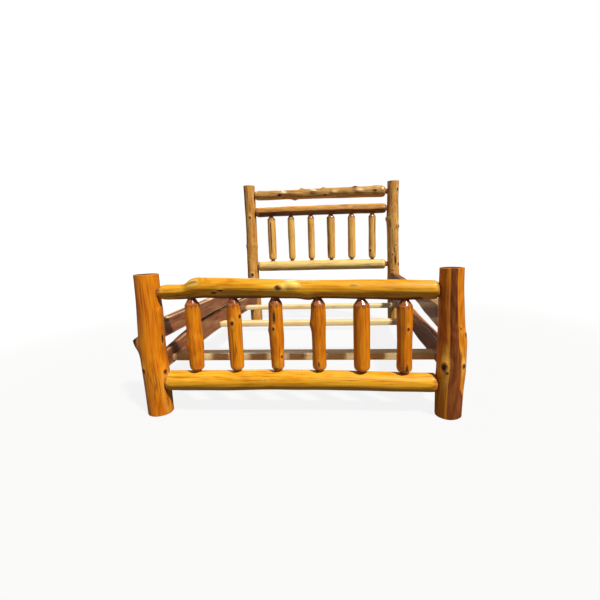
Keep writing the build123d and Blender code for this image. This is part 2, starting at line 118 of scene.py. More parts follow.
class Graph:
    """The node graph of a material or a world."""

    def __init__(self, owner: bpy.types.Material | bpy.types.World) -> None:
        """Start a graph afresh.

        Args:
            owner: The material or world that it belongs to.
        """
        owner.use_nodes = True
        self.owner = owner
        self.tree = owner.node_tree
        self.tree.nodes.clear()

    def node(
        self,
        kind: str,
        settings: dict | None = None,
        values: dict | None = None,
        output: str | int = 0,
    ) -> Signal:
        """Add a node.

        Args:
            kind: The node's type.
            settings: Properties, set before the sockets; "stops" are a ramp's stops.
            values: Socket names or numbers, with what goes into each: a number, colour or signal.
            output: The output socket's name or number.

        Returns:
            The chosen output as a signal.
        """
        made = self.tree.nodes.new(kind)
        for name, value in (settings or {}).items():
            if name == "stops":
                self._stops(made.color_ramp, value)
            else:
                setattr(made, name, value)
        for name, value in (values or {}).items():
            if isinstance(value, Signal):
                self.tree.links.new(value.socket, made.inputs[name])
            else:
                made.inputs[name].default_value = value
        return Signal(self, made.outputs[output])

    @staticmethod
    def _stops(ramp: bpy.types.ColorRamp, stops: list[tuple[float, Colour]]) -> None:
        """Set a ramp's stops.

        Args:
            ramp: The ramp.
            stops: Each stop's place and colour.
        """
        while len(ramp.elements) < len(stops):
            ramp.elements.new(1.0)
        for element, (place, colour) in zip(ramp.elements, stops):
            element.position = place
            element.color = (*colour, 1.0)

    def maths(self, operation: str, *terms: Signal | float) -> Signal:
        """The value of a Math node of signals or numbers."""
        return self.node("ShaderNodeMath", {"operation": operation}, dict(enumerate(terms)))

    def vector(self, operation: str, *terms: Signal | tuple, output: str = "Vector") -> Signal:
        """The "Vector" or "Value" of a Vector Math node of signals or triples."""
        settings = {"operation": operation}
        return self.node("ShaderNodeVectorMath", settings, dict(enumerate(terms)), output)

    def draw_out(self, place: Signal, share: float) -> Signal:
        """Coordinates whose pattern is drawn out along the log, the more the smaller the share."""
        return self.vector("MULTIPLY", place, (1.0, 1.0, share))

    def reach(self, place: Signal) -> Signal:
        """How far coordinates lie from their origin."""
        return self.vector("LENGTH", place, output="Value")

    def blend(self, share: Signal | float, first: Signal | Colour, second: Signal | Colour) -> Signal:
        """Mix two colours.

        Args:
            share: How far the result lies towards the second.
            first: The colour at 0.
            second: The colour at 1.

        Returns:
            The mixed colour.
        """
        ends = [end if isinstance(end, Signal) else (*end, 1.0) for end in (first, second)]
        values = {"Factor": share, 6: ends[0], 7: ends[1]}
        return self.node("ShaderNodeMix", {"data_type": "RGBA"}, values, 2)

    def attribute(self, name: str, output: str) -> Signal:
        """A mesh attribute, as "Vector" or "Fac"."""
        return self.node("ShaderNodeAttribute", {"attribute_name": name}, output=output)

    def cloud(self, place: Signal, scale: float, detail: float = 3.0, rough: float = 0.55) -> Signal:
        """Noise around a half, with its features per metre, octaves and their strength."""
        values = {"Vector": place, "Scale": scale, "Detail": detail, "Roughness": rough}
        return self.node("ShaderNodeTexNoise", {"noise_dimensions": "3D"}, values, "Fac")

    def grain(self, place: Signal, kind: "Grain") -> Signal:
        """One of the noises in wood."""
        scale, share, detail, rough = kind.value
        return self.cloud(self.draw_out(place, share), scale, detail, rough)

    def finish(self, shader: Signal, output: str = "Material") -> bpy.types.Material:
        """Link a shader to the graph's output.

        Args:
            shader: The shader.
            output: "Material" or "World".

        Returns:
            The graph's owner.
        """
        out = self.tree.nodes.new(f"ShaderNodeOutput{output}")
        self.tree.links.new(shader.socket, out.inputs["Surface"])
        return self.owner


class Grain(Enum):
    """The noises in wood: features per metre, share along the log, octaves, their strength."""

    WANDER = (14.0, 0.25, 2.0, 0.55)
    BROAD = (7.0, 0.4, 2.0, 0.55)
    STREAK = (130.0, 0.045, 4.0, 0.65)
    FIBRE = (420.0, 0.045, 3.0, 0.6)
    CONTOUR = (42.0, 0.03, 2.0, 0.45)
    SPECK = (120.0, 0.22, 2.0, 0.5)
    BLOTCH = (48.0, 0.30, 3.0, 0.6)


@dataclass(frozen=True)
class Wood:
    """Varnished wood, in the tones of its sapwood, heartwood and knots, with a colour for painted
    highlights on bumps by the knots, and a neck red that on the slats paints the pockets' shade.
    """

    light: Colour
    tone: Colour
    dark: Colour
    heart: Colour = (0.26, 0.075, 0.02)
    heart_dark: Colour = (0.10, 0.024, 0.008)
    heart_light: Colour = (0.42, 0.15, 0.05)
    rim: Colour = (0.85, 0.55, 0.25)
    neck_and_shade_colour: Colour = (0.42, 0.11, 0.03)
    knot: Colour = (0.030, 0.010, 0.005)
    knot_ring: Colour = (0.24, 0.07, 0.012)
    painted_highlight: Colour = (0.85, 0.42, 0.05)
    streaks: float = 0.6
    checks: float = 0.55
    flecks: float = 0.25
    blotches: float = 0.0
    ring_pitch: float = 0.0042
    gloss: float = 0.30
    coat: float = 0.25

    def material(
        self, name: str, shift: Vector, knots: "list[tuple[Knot, Vector]]"
    ) -> bpy.types.Material:
        """Make the wood for one piece.

        Args:
            name: The material's name.
            shift: Where in the pattern this piece was cut, so that no two match.
            knots: The piece's knots, each with its place in grain coordinates.

        Returns:
            The material.
        """
        g = Graph(bpy.data.materials.new(name))
        grain = g.attribute("grain", "Vector")
        depth = g.attribute("depth", "Fac")
        own = g.vector("ADD", grain, tuple(shift))
        wander = g.grain(own, Grain.WANDER)
        broad = g.grain(own, Grain.BROAD)
        streak = g.grain(own, Grain.STREAK)
        fibre = g.grain(own, Grain.FIBRE)
        contour = g.grain(own, Grain.CONTOUR) - 0.5
        checks = contour.size().step(0.020, 0.004) * broad.step(0.47, 0.60)
        pith = g.reach(g.draw_out(grain, 0.0))
        turns = (pith + wander * 0.012) * (2 * math.pi / self.ring_pitch)
        rings = turns.sine() * 0.5 + 0.5

        tone = (streak - 0.5) * 1.15 + (rings - 0.5) * 0.14 + (broad - 0.5) * 0.7 + 0.5
        stops = [(0.16, self.dark), (0.46, self.tone), (0.86, self.light)]
        sapwood = g.node("ShaderNodeValToRGB", {"stops": stops}, {"Fac": tone}, "Color")
        lines = ((fibre - 0.5) * 0.5 + streak).step(0.42, 0.28) * self.streaks
        sapwood = g.blend(lines, sapwood, self.dark)
        sapwood = g.blend(checks * self.checks, sapwood, self.heart_dark)
        stops = [(0.20, self.heart_dark), (0.50, self.heart), (0.82, self.heart_light)]
        tone = tone + (fibre - 0.5) * 0.6
        heartwood = g.node("ShaderNodeValToRGB", {"stops": stops}, {"Fac": tone}, "Color")

        edge = depth + (wander - 0.5) * 0.9 + (streak - 0.5) * 0.5
        wood = g.blend(edge.step(0.62, 0.95), sapwood, heartwood)
        rim = depth.step(0.04, 0.16) * depth.step(0.62, 0.3) * 0.35
        wood = g.blend(rim, wood, self.rim)

        specks = g.grain(own, Grain.SPECK).step(0.70, 0.76)
        wood = g.blend(specks * self.flecks, wood, self.heart_dark)
        if self.blotches:
            blotch = g.grain(own, Grain.BLOTCH).step(0.57, 0.70)
            wood = g.blend(blotch * self.blotches, wood, self.heart)

        rough_edge = g.cloud(own, 70.0, 3.0) - 0.5
        core = None
        for knot, place in knots:
            off = g.vector("SUBTRACT", grain, tuple(place))
            size = g.reach(g.draw_out(off, knot.squat)) * (1 / knot.size) + rough_edge * 0.9
            highlight_reach = g.reach(g.draw_out(off, knot.highlight_stretch)) * (1 / knot.size) + rough_edge * 1.2
            # Beside each knot lies a painted highlight of the bump that it sits on.
            wood = g.blend(highlight_reach.step(2.6, 1.1) * knot.glow, wood, self.painted_highlight)
            wood = g.blend(size.step(1.7, 1.0) * knot.strength, wood, self.knot_ring)
            dark = size.step(0.95, 0.55) * knot.strength
            wood = g.blend(dark, wood, self.knot)
            core = dark if core is None else core.most(dark)

        neck_and_pocket_shade = g.attribute("neck_and_pocket_shade", "Fac")
        # Worked necks and cones show redder wood; on the slats the same mask paints the shade where
        # each end goes into its rail's pocket.
        neck_and_shade_colour = g.blend(streak.step(0.30, 0.62), self.heart_dark, self.neck_and_shade_colour)
        wood = g.blend(neck_and_pocket_shade * 0.8, wood, neck_and_shade_colour)
        relief = streak * 0.5 + fibre * 0.3 + rings * 0.12 - checks * 0.3
        if core is not None:
            relief = relief - core * 0.8
        values = {"Strength": 0.28, "Distance": 0.0012, "Height": relief}
        values = {
            "Base Color": wood,
            "Roughness": self.gloss + streak * 0.14 + broad * 0.08 - neck_and_pocket_shade * 0.14,
            "Normal": g.node("ShaderNodeBump", None, values, "Normal"),
            "Coat Weight": neck_and_pocket_shade * 0.5 + self.coat,
            "Coat Roughness": 0.10,
            "Specular IOR Level": 0.25,
        }
        return g.finish(g.node("ShaderNodeBsdfPrincipled", None, values, "BSDF"))


AMBER = Wood(
    light=(0.83, 0.31, 0.006), tone=(0.65, 0.178, 0.002), dark=(0.36, 0.075, 0.002),
    heart=(0.195, 0.047, 0.007), heart_dark=(0.075, 0.016, 0.004), heart_light=(0.34, 0.10, 0.017),
    rim=(0.80, 0.40, 0.08),
)
AMBER_RAIL = replace(
    AMBER, light=(0.86, 0.46, 0.03), tone=(0.73, 0.32, 0.010), dark=(0.42, 0.13, 0.004),
    painted_highlight=(0.98, 0.66, 0.13),
)
GOLDEN = Wood(
    light=(0.80, 0.46, 0.12), tone=(0.60, 0.27, 0.052), dark=(0.26, 0.09, 0.018),
    heart=(0.22, 0.075, 0.026), heart_dark=(0.075, 0.022, 0.010), heart_light=(0.42, 0.18, 0.065),
    rim=(0.80, 0.50, 0.20), painted_highlight=(0.84, 0.58, 0.22), flecks=0.6, streaks=0.7,
)
HONEY = replace(
    GOLDEN, light=(0.88, 0.57, 0.17), tone=(0.75, 0.40, 0.085), dark=(0.42, 0.17, 0.03), flecks=0.3,
)
KNOTTY = replace(
    GOLDEN, streaks=1.0, checks=1.0, flecks=1.0, blotches=0.7,
)
STRAW = replace(
    GOLDEN, light=(0.86, 0.68, 0.27), tone=(0.76, 0.53, 0.17), dark=(0.48, 0.27, 0.07), flecks=0.2,
)
UMBER = replace(
    GOLDEN, light=(0.74, 0.45, 0.14), tone=(0.54, 0.28, 0.075), dark=(0.16, 0.065, 0.022),
    painted_highlight=(0.95, 0.76, 0.42), flecks=0.9, streaks=1.0, blotches=0.5,
)
SIDE = Wood(
    light=(0.80, 0.55, 0.25), tone=(0.62, 0.36, 0.13), dark=(0.36, 0.17, 0.06),
    heart=(0.31, 0.098, 0.034), heart_dark=(0.11, 0.030, 0.012), heart_light=(0.46, 0.19, 0.08),
    rim=(0.80, 0.58, 0.32), gloss=0.34, coat=0.35,
)
PINE = Wood(
    light=(0.95, 0.82, 0.52), tone=(0.93, 0.69, 0.33), dark=(0.64, 0.41, 0.17), streaks=0.35,
    flecks=0.08, ring_pitch=0.006, gloss=0.42, coat=0.15,
)


@dataclass(frozen=True)
class Zinc:
    """Zinc-plated steel with a faint brushed grain."""

    tone: Colour = (0.60, 0.61, 0.62)
    dull: Colour = (0.42, 0.43, 0.45)

    def material(self) -> bpy.types.Material:
        """Make the steel.

        Returns:
            The material.
        """
        g = Graph(bpy.data.materials.new("zinc_plate"))
        place = g.node("ShaderNodeTexCoord", output="Object")
        brushed = g.cloud(g.vector("MULTIPLY", place, (1.0, 0.1, 1.0)), 900.0)
        cloudy = g.cloud(place, 120.0)
        colour = g.blend(brushed * 0.5 + cloudy * 0.4, self.dull, self.tone)
        values = {"Base Color": colour, "Roughness": cloudy * 0.25 + 0.25, "Metallic": 1.0}
        return g.finish(g.node("ShaderNodeBsdfPrincipled", None, values, "BSDF"))


@dataclass(frozen=True)
class Knot:
    """A knot: how far along the log, which way it faces in degrees, and its radius; with a strength of
    0 it is no knot, only a painted highlight on a bump.
    """

    along: float
    angle: float
    size: float = 0.012
    rise: float = 0.004
    strength: float = 1.0
    squat: float = 0.8
    # The shape and strength of the painted highlight beside the knot, which is drawn out along the
    # grain.
    highlight_stretch: float = 0.35
    glow: float = 0.35


@dataclass(frozen=True)
class Lump:
    """A swelling, or a hollow where the height is below 0, with its reach each way."""

    along: float
    angle: float
    height: float
    before: float
    after: float
    spread: float = 50.0


@dataclass(frozen=True)
class Band:
    """A stripe where the drawknife went through the sapwood to the red heartwood."""

    angle: float
    half_width: float
    start: float
    stop: float
    strength: float = 1.4


class End(Enum):
    """How a log's end is worked."""

    SAWN = "sawn square, the rim eased"
    POINTED = "cut like a pencil down to the tenon"
    DOMED = "rounded over to the tenon"
    PLAIN = "sawn square inside a post"


TENONED = (End.POINTED, End.DOMED)


def between(values: Row, share: float) -> float:
    """A smooth value between evenly spaced stations.

    Args:
        values: The stations' values.
        share: 0 at the first station, 1 at the last.

    Returns:
        The value, on a curve through every station.
    """
    if len(values) == 1:
        return values[0]
    place = min(max(share, 0.0), 1.0) * (len(values) - 1)
    index = min(int(place), len(values) - 2)
    t = place - index
    a, b = values[index], values[index + 1]
    before = values[max(index - 1, 0)]
    after = values[min(index + 2, len(values) - 1)]
    leave, arrive = (b - before) / 2, (after - a) / 2
    return (
        a * (1 + 2 * t) * (1 - t) ** 2
        + leave * t * (1 - t) ** 2
        + b * t * t * (3 - 2 * t)
        + arrive * t * t * (t - 1)
    )


def wrap(angle: float) -> float:
    """An angle in degrees brought between -180 and 180."""
    return (angle + 180.0) % 360.0 - 180.0


def polar(reach: float, angle: float) -> Vector:
    """The spot at a distance and an angle in degrees, in a log's own axes."""
    facing = math.radians(angle)
    return Vector((math.cos(facing) * reach, math.sin(facing) * reach, 0.0))


def wood_attributes(mesh: bpy.types.Mesh) -> list[bpy.types.bpy_prop_collection]:
    """Give a mesh the attributes that the wood reads.

    Args:
        mesh: The mesh.

    Returns:
        The values of grain, depth, and neck red and pocket shade, one for each vertex.
    """
    kinds = {"grain": "FLOAT_VECTOR", "depth": "FLOAT", "neck_and_pocket_shade": "FLOAT"}
    for name, kind in kinds.items():
        mesh.attributes.new(name, kind, "POINT")
    return [mesh.attributes[name].data for name in kinds]


def ease_edges(bm: BMesh, edges: list, radius: float, segments: int) -> None:
    """Round edges over.

    Args:
        bm: The mesh they belong to.
        edges: The edges.
        radius: The rounding in metres.
        segments: How many faces it is made of.
    """
    bmesh.ops.bevel(
        bm, geom=edges, offset=radius, offset_type="OFFSET", affect="EDGES",
        segments=segments, profile=0.5, material=-1, clamp_overlap=True,
    )


def to_mesh(bm: BMesh, name: str) -> bpy.types.Mesh:
    """Turn a bmesh into a mesh and free it.

    Args:
        bm: The bmesh.
        name: The mesh's name.

    Returns:
        The mesh.
    """
    mesh = bpy.data.meshes.new(name)
    bm.to_mesh(mesh)
    bm.free()
    return mesh


def linked(name: str, data: bpy.types.ID) -> bpy.types.Object:
    """Put data into the scene.

    Args:
        name: The object's name.
        data: Its mesh, light or camera.

    Returns:
        The object.
    """
    made = bpy.data.objects.new(name, data)
    bpy.context.scene.collection.objects.link(made)
    return made


def shown(piece: bpy.types.Object, node: str) -> None:
    """Put a finished piece in place of its CAD node.

    Args:
        piece: The object.
        node: The CAD node that it replaces.
    """
    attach(piece, "root")
    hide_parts(node)
    log.info("%s: %d faces", node, len(piece.data.polygons))


@dataclass
class Log:
    """A peeled log, turned from a plain cylinder into one that grew."""

    name: str
    start: Vector
    stop: Vector
    across: Vector
    diameter: float
    girths: Row
    wood: Wood
    slot: str
    drift_x: Row = (0.0,)
    drift_y: Row = (0.0,)
    oval: float = 0.02
    turn: float = 0.0
    ends: tuple[End, End] = (End.SAWN, End.SAWN)
    tenon: float = 0.027
    tenon_length: float = 0.060
    shoulder: float = 0.034
    point: float = 0.032
    stain: float = 0.014
    facet: float = 36.0
    facing: float = 286.0
    necks: Pair = (0.003, 0.003)
    reds: Pair = (1.0, 1.0)
    runs: Pair = (0.004, 0.004)
    sapwood: float = 0.016
    waves: float = 0.0022
    flats: float = 0.0012
    knots: tuple[Knot, ...] = ()
    lumps: tuple[Lump, ...] = ()
    bands: tuple[Band, ...] = ()
    sides: int = 64
    pitch: float = 0.0075
    crowding: float = 0.07
    seed: float = 0.0

    def __post_init__(self) -> None:
        """Work out the log's own axes."""
        self.length = (self.stop - self.start).length
        self.axis = (self.stop - self.start).normalized()
        self.x_axis = (self.across - self.axis * self.across.dot(self.axis)).normalized()
        self.y_axis = self.axis.cross(self.x_axis)
        self.shift = Vector((self.seed * 3.7, self.seed * 1.9, self.seed * 5.3))
        self.root = self.tenon_length + self.shoulder if self.ends[0] in TENONED else 0.0

    def share(self, along: float) -> float:
        """How far along its body a length lies, from 0 to 1."""
        return (along - self.root) / (self.length - 2 * self.root)

    def pith(self, along: float) -> Vector:
        """Where the pith runs at a length along the log.

        Args:
            along: Metres from the log's start.

        Returns:
            The spot in the log's own axes.
        """
        share = self.share(along)
        x = between(self.drift_x, share) * self.diameter
        y = between(self.drift_y, share) * self.diameter
        return Vector((x, y, along))

    def surface(self, along: float, angle: float) -> float:
        """How far the bark side lies from the pith.

        Args:
            along: Metres from the log's start.
            angle: Degrees round the pith.

        Returns:
            The radius in metres.
        """
        turned = math.radians(angle - self.turn)
        facing = math.radians(angle)
        out = Vector((math.cos(facing), math.sin(facing), 0.0))
        reach = self.diameter / 2 * between(self.girths, self.share(along))
        reach *= 1 + self.oval * math.cos(2 * turned) + self.oval / 2 * math.sin(3 * turned)
        slow = out * 0.9 + UP * (along * 5.5) + self.shift
        reach += self.waves * noise.noise(slow)
        cut = out * 3.2 + UP * (along * 1.6) + self.shift * 1.3
        reach -= self.flats * abs(noise.noise(cut)) * 2
        for lump in self.lumps:
            gap = along - lump.along
            run = gap / (lump.before if gap < 0 else lump.after)
            if abs(run) < 3:
                side = wrap(angle - lump.angle) / lump.spread
                reach += lump.height * math.exp(-run * run - side * side)
        for knot in self.knots:
            run = (along - knot.along) / knot.size
            if abs(run) < 5:
                side = math.radians(wrap(angle - knot.angle)) * reach / knot.size
                far = run * run * 0.5 + side * side
                reach += knot.rise * (math.exp(-far / 3.0) - 0.55 * math.exp(-far * 3.0))
        return reach

    def cuts(self, along: float) -> list[tuple[int, float]]:
        """Find where a spot lies to the cutters of the tenoned ends.

        Args:
            along: Metres from the log's start.

        Returns:
            Each such end's index, and how far past its shoulder's start the spot lies.
        """
        gaps = enumerate((along, self.length - along))
        return [
            (index, gap - self.tenon_length - self.necks[index])
            for index, gap in gaps
            if self.ends[index] in TENONED
        ]

    def worked(self, along: float) -> float:
        """The radius that the ends' cutters leave.

        Args:
            along: Metres from the log's start.

        Returns:
            The radius, or a large one where no cutter reaches.
        """
        nearest = 1.0
        for index, past in self.cuts(along):
            pointed = self.ends[index] is End.POINTED
            flare = self.diameter / 2 * self.girths[-index] - self.tenon
            share = past / (self.point if pointed else self.shoulder)
            if share <= 0:
                cut = 0.0
            elif share >= 1:
                cut = 1 + (share - 1) * 1.5
            elif pointed:
                cut = share
            else:
                cut = math.sqrt(1 - (1 - share) ** 2)
            nearest = min(nearest, self.tenon + flare * cut)
        return nearest

    def off_facet(self, angle: float) -> float:
        """Degrees from the middle of the nearest flat that the knife left."""
        return (angle - self.facing + self.facet / 2) % self.facet - self.facet / 2

    def radius(self, along: float, angle: float) -> float:
        """The finished radius: bark side or cut, whichever lies nearer the pith, eased.

        Args:
            along: Metres from the log's start.
            angle: Degrees round the pith.

        Returns:
            The radius in metres.
        """
        bark = self.surface(along, angle)
        flat = self.off_facet(angle)
        cut = self.worked(along) * (0.2 + 0.8 / math.cos(math.radians(flat)))
        ease = 0.0025
        gap = max(ease - abs(bark - cut), 0.0) / ease
        return min(bark, cut) - gap * gap * ease / 4

    def place(self, local: Vector) -> Vector:
        """From the log's own axes to the room."""
        return self.start + self.x_axis * local.x + self.y_axis * local.y + self.axis * local.z

    def local(self, spot: Vector) -> Vector:
        """From the room to the log's own axes."""
        gap = spot - self.start
        return Vector((gap.dot(self.x_axis), gap.dot(self.y_axis), gap.dot(self.axis)))

    def top(self, x: float, side: float) -> float:
        """The height of a cross rail's top or underside.

        Args:
            x: Where across the bed.
            side: 1 for the top, -1 for the underside.

        Returns:
            The height above the floor.
        """
        along = (x - self.start.x) / self.axis.x
        angle = 0.0 if side > 0 else 180.0
        return self.place(self.pith(along)).z + side * self.surface(along, angle)

    def blank(self) -> BMesh:
        """A cylinder of unit radius with rings along it, closer towards its ends.

        Returns:
            The mesh, with its height from 0 to the log's length.
        """
        bm = bmesh.new()
        rings = max(int(self.length / self.pitch), 12)
        bmesh.ops.create_cone(
            bm, cap_ends=True, segments=self.sides, radius1=1.0, radius2=1.0, depth=1.0,
            matrix=Matrix.Translation((0.0, 0.0, 0.5)),
        )
        long_edges = [e for e in bm.edges if abs(e.verts[0].co.z - e.verts[1].co.z) > 0.5]
        bmesh.ops.subdivide_edges(bm, edges=long_edges, cuts=rings, use_grid_fill=True)
        caps = [f for f in bm.faces if len(f.verts) == self.sides]
        for thickness in (0.04, 0.12, 0.2, 0.2, 0.2, 0.14):
            bmesh.ops.inset_region(bm, faces=caps, thickness=thickness, use_even_offset=False)
        bmesh.ops.poke(bm, faces=caps)
        for vert in bm.verts:
            share = vert.co.z
            vert.co.z = self.length * (share - self.crowding * math.sin(2 * math.pi * share))
        return bm

    def shape(self, bm: BMesh) -> None:
        """Move the blank's vertices to the log's surface, in the room.

        Args:
            bm: The blank.
        """
        for vert in bm.verts:
            along = vert.co.z
            spread = min(math.hypot(vert.co.x, vert.co.y), 1.0)
            angle = math.degrees(math.atan2(vert.co.y, vert.co.x))
            out = polar(self.radius(along, angle) * spread, angle)
            vert.co = self.place(self.pith(along) + out)

    def ease_ends(self, bm: BMesh) -> None:
        """Round the rims of ends that are sawn square.

        Args:
            bm: The log.
        """
        if self.ends[0] is End.SAWN:
            rims = [e for e in bm.edges if e.calc_face_angle(0.0) > 1.0]
            ease_edges(bm, rims, RIM_RADIUS, 4)

    def joint_shade(self, along: float, angle: float) -> float:
        """How much of the worked, redder wood shows at a spot.

        Args:
            along: Metres from the log's start.
            angle: Degrees round the pith.

        Returns:
            A share from 0 to 1.
        """
        shade = 0.0
        scallop = 1 - 2.4 * abs(self.off_facet(angle)) / self.facet
        for index, past in self.cuts(along):
            full, fade = self.runs[index], 0.010
            if self.ends[index] is End.POINTED:
                full, fade = self.point + self.stain * scallop, 0.006
            shade = max(shade, (1.0 - max(past - full, 0.0) / fade) * self.reds[index])
        return max(shade, 0.0)

    def record_grain(self, mesh: bpy.types.Mesh) -> None:
        """Write each vertex's grain coordinates, depth under the bark and joint shade.

        Args:
            mesh: The finished mesh, in the room.
        """
        grain, depth, neck_and_pocket_shade = wood_attributes(mesh)
        for vert in mesh.vertices:
            own = self.local(vert.co)
            off = own - self.pith(own.z)
            angle = math.degrees(math.atan2(off.y, off.x))
            along = min(max(own.z, 0.0), self.length)
            under = (self.surface(along, angle) - math.hypot(off.x, off.y)) / self.sapwood
            for band in self.bands:
                if band.start < along < band.stop:
                    wide = abs(wrap(angle - band.angle)) / band.half_width
                    ease = min((along - band.start), (band.stop - along), 0.06) / 0.06
                    under += band.strength * ease * max(1.25 - wide, 0.0) ** 0.5
            grain[vert.index].vector = Vector((off.x, off.y, own.z))
            depth[vert.index].value = under
            neck_and_pocket_shade[vert.index].value = self.joint_shade(along, angle)

    def knot_place(self, knot: Knot) -> Vector:
        """Where a knot's middle lies in grain coordinates."""
        return polar(self.surface(knot.along, knot.angle), knot.angle) + UP * knot.along

    def build(self) -> None:
        """Model the log and dress it."""
        bm = self.blank()
        self.shape(bm)
        bmesh.ops.recalc_face_normals(bm, faces=bm.faces)
        self.ease_ends(bm)
        mesh = to_mesh(bm, self.name)
        mesh.shade_smooth()
        self.record_grain(mesh)
        knots = [(knot, self.knot_place(knot)) for knot in self.knots]
        mesh.materials.append(self.wood.material(f"{self.name}_wood", self.shift, knots))
        shown(linked(f"{self.name}_log", mesh), self.name)


@dataclass
class SideRail(Log):
    """A log along one side of the bed, sawn flat on its inner face."""

    side: int = 1
    sawn_top: float = 0.0

    def arris(self, along: float, upper: int) -> float:
        """The angle, in degrees, at which the bark meets the sawn face.

        Args:
            along: Metres from the foot end.
            upper: 1 for the upper arris, -1 for the lower.

        Returns:
            The angle round the pith.
        """
        inward = -90.0 * self.side
        angle = inward
        for _ in range(4):
            reach = self.surface(along, angle)
            open_angle = math.degrees(math.acos(min(SAWN_DEPTH / reach, 1.0)))
            angle = inward + open_angle * upper * self.side
        return angle

    def outline(self, along: float) -> list[Vector]:
        """The corners round one section: across the sawn face, then round the bark.

        Args:
            along: Metres from the foot end.

        Returns:
            One point for each side of the blank, in the log's own axes.
        """
        def at(angle: float) -> Vector:
            """The bark at an angle."""
            return polar(self.surface(along, angle), angle)

        low, high = self.arris(along, -1), self.arris(along, 1)
        bottom, top = at(low), at(high)
        outer = high
        points: list[Vector] = []
        across = 22
        capped = self.sawn_top and top.x > self.sawn_top
        over = 12 if self.sawn_top else 0
        corner = top
        if capped:
            corner = Vector((self.sawn_top, top.y, 0.0))
            reach = self.surface(along, 40.0 * self.side)
            outer = math.degrees(math.acos(min(self.sawn_top / reach, 1.0))) * self.side
        ease = 0.0018
        face = corner - bottom
        trim = ease / max(face.length, 0.01)
        for index in range(across):
            share = trim + (1 - 2 * trim) * index / (across - 1)
            points.append(bottom + face * share)
        end = at(outer)
        for index in range(over):
            share = (index + 0.15) / over
            points.append(corner.lerp(end, share) if capped else top)
        rest = self.sides - across - over
        sweep = (low - outer) % 360 if self.side > 0 else -((outer - low) % 360)
        slip = math.copysign(1.0, sweep)
        for index in range(rest):
            share = index / (rest - 1)
            points.append(at(outer + slip + (sweep - 2 * slip) * share))
        return points

    def shape(self, bm: BMesh) -> None:
        """Move the blank's vertices to the sawn log's surface, in the room.

        Args:
            bm: The blank.
        """
        sections: dict[float, list[Vector]] = {}
        for vert in bm.verts:
            along = round(vert.co.z, 6)
            if along not in sections:
                sections[along] = self.outline(along)
            spread = min(math.hypot(vert.co.x, vert.co.y), 1.0)
            turn = math.atan2(vert.co.y, vert.co.x) / (2 * math.pi)
            corner = sections[along][round(turn * self.sides) % self.sides]
            vert.co = self.place(self.pith(along) + corner * spread)


@dataclass
class EndBoard:
    """One end of the bed: two posts, its cross rails and a row of spindles."""

    label: str
    y: float
    height: float
    slot: str
    varnish: Wood
    spindle_necks: Pair
    spindle_seed: float

    def post(self, side: int, drop: float = 0.0, **form: object) -> Log:
        """A post's log, not yet built.

        Args:
            side: -1 for the left, 1 for the right.
            drop: How far it ends below the board's height.
            form: The log's other fields.

        Returns:
            The post.
        """
        tips = (Vector((side * POST_X, self.y, z)) for z in (0.0, self.height - drop))
        name = f"{self.label}_post_{SIDES[side]}"
        return Log(name, *tips, RIGHT, POST_DIAMETER, slot=self.slot, **form)

    def rail(self, place: str, left: float, right: float, **form: object) -> Log:
        """A cross rail's log, not yet built.

        Args:
            place: Its place in the node's name.
            left: Its axis's height at the left tip.
            right: The same at the right tip.
            form: The log's other fields.

        Returns:
            The rail.
        """
        tips = (Vector((side * RAIL_TIP_X, self.y, z)) for side, z in ((-1, left), (1, right)))
        values = {"slot": self.slot, "ends": (End.DOMED, End.DOMED), **form}
        return Log(f"{self.label}_{place}_rail", *tips, UP, RAIL_DIAMETER, **values)

    def spindle(self, index: int, x: float, lower: Log, upper: Log, **form: object) -> Log:
        """A spindle's log, from tip to tip of its tenons.

        Args:
            index: Its place in the row, from the left.
            x: Where it stands across the bed.
            lower: The rail it stands on.
            upper: The rail above it.
            form: The log's other fields.

        Returns:
            The log, not yet built.
        """
        values = {
            "wood": self.varnish, "slot": self.slot, "ends": (End.DOMED, End.POINTED),
            "tenon": 0.020, "tenon_length": SPINDLE_TENON, "shoulder": 0.030,
            "necks": self.spindle_necks, "reds": (0.6, 1.0), "sapwood": 0.007, "waves": 0.0016,
            "sides": 48, "pitch": 0.0065, "turn": 47.0 * index,
            "seed": self.spindle_seed + index, **form,
        }
        start = Vector((x, self.y, lower.top(x, 1) - SPINDLE_TENON))
        stop = Vector((x, self.y, upper.top(x, -1) + SPINDLE_TENON))
        name = f"{self.label}_spindle_{index + 1}"
        return Log(name, start, stop, RIGHT, SPINDLE_DIAMETER, **values)

    def posts(self) -> list[Log]:
        """The two posts."""
        raise NotImplementedError

    def rails(self) -> list[Log]:
        """The cross rails, of which the last two hold the spindles."""
        raise NotImplementedError

    def row(self) -> tuple[dict, ...]:
        """Each spindle's x and form."""
        raise NotImplementedError

    def build(self) -> None:
        """Model and dress this end."""
        rails = self.rails()
        upper, lower = rails[-2:]
        spindles = [
            self.spindle(index, lower=lower, upper=upper, **form)
            for index, form in enumerate(self.row())
        ]
        for piece in [*self.posts(), *rails, *spindles]:
            piece.build()


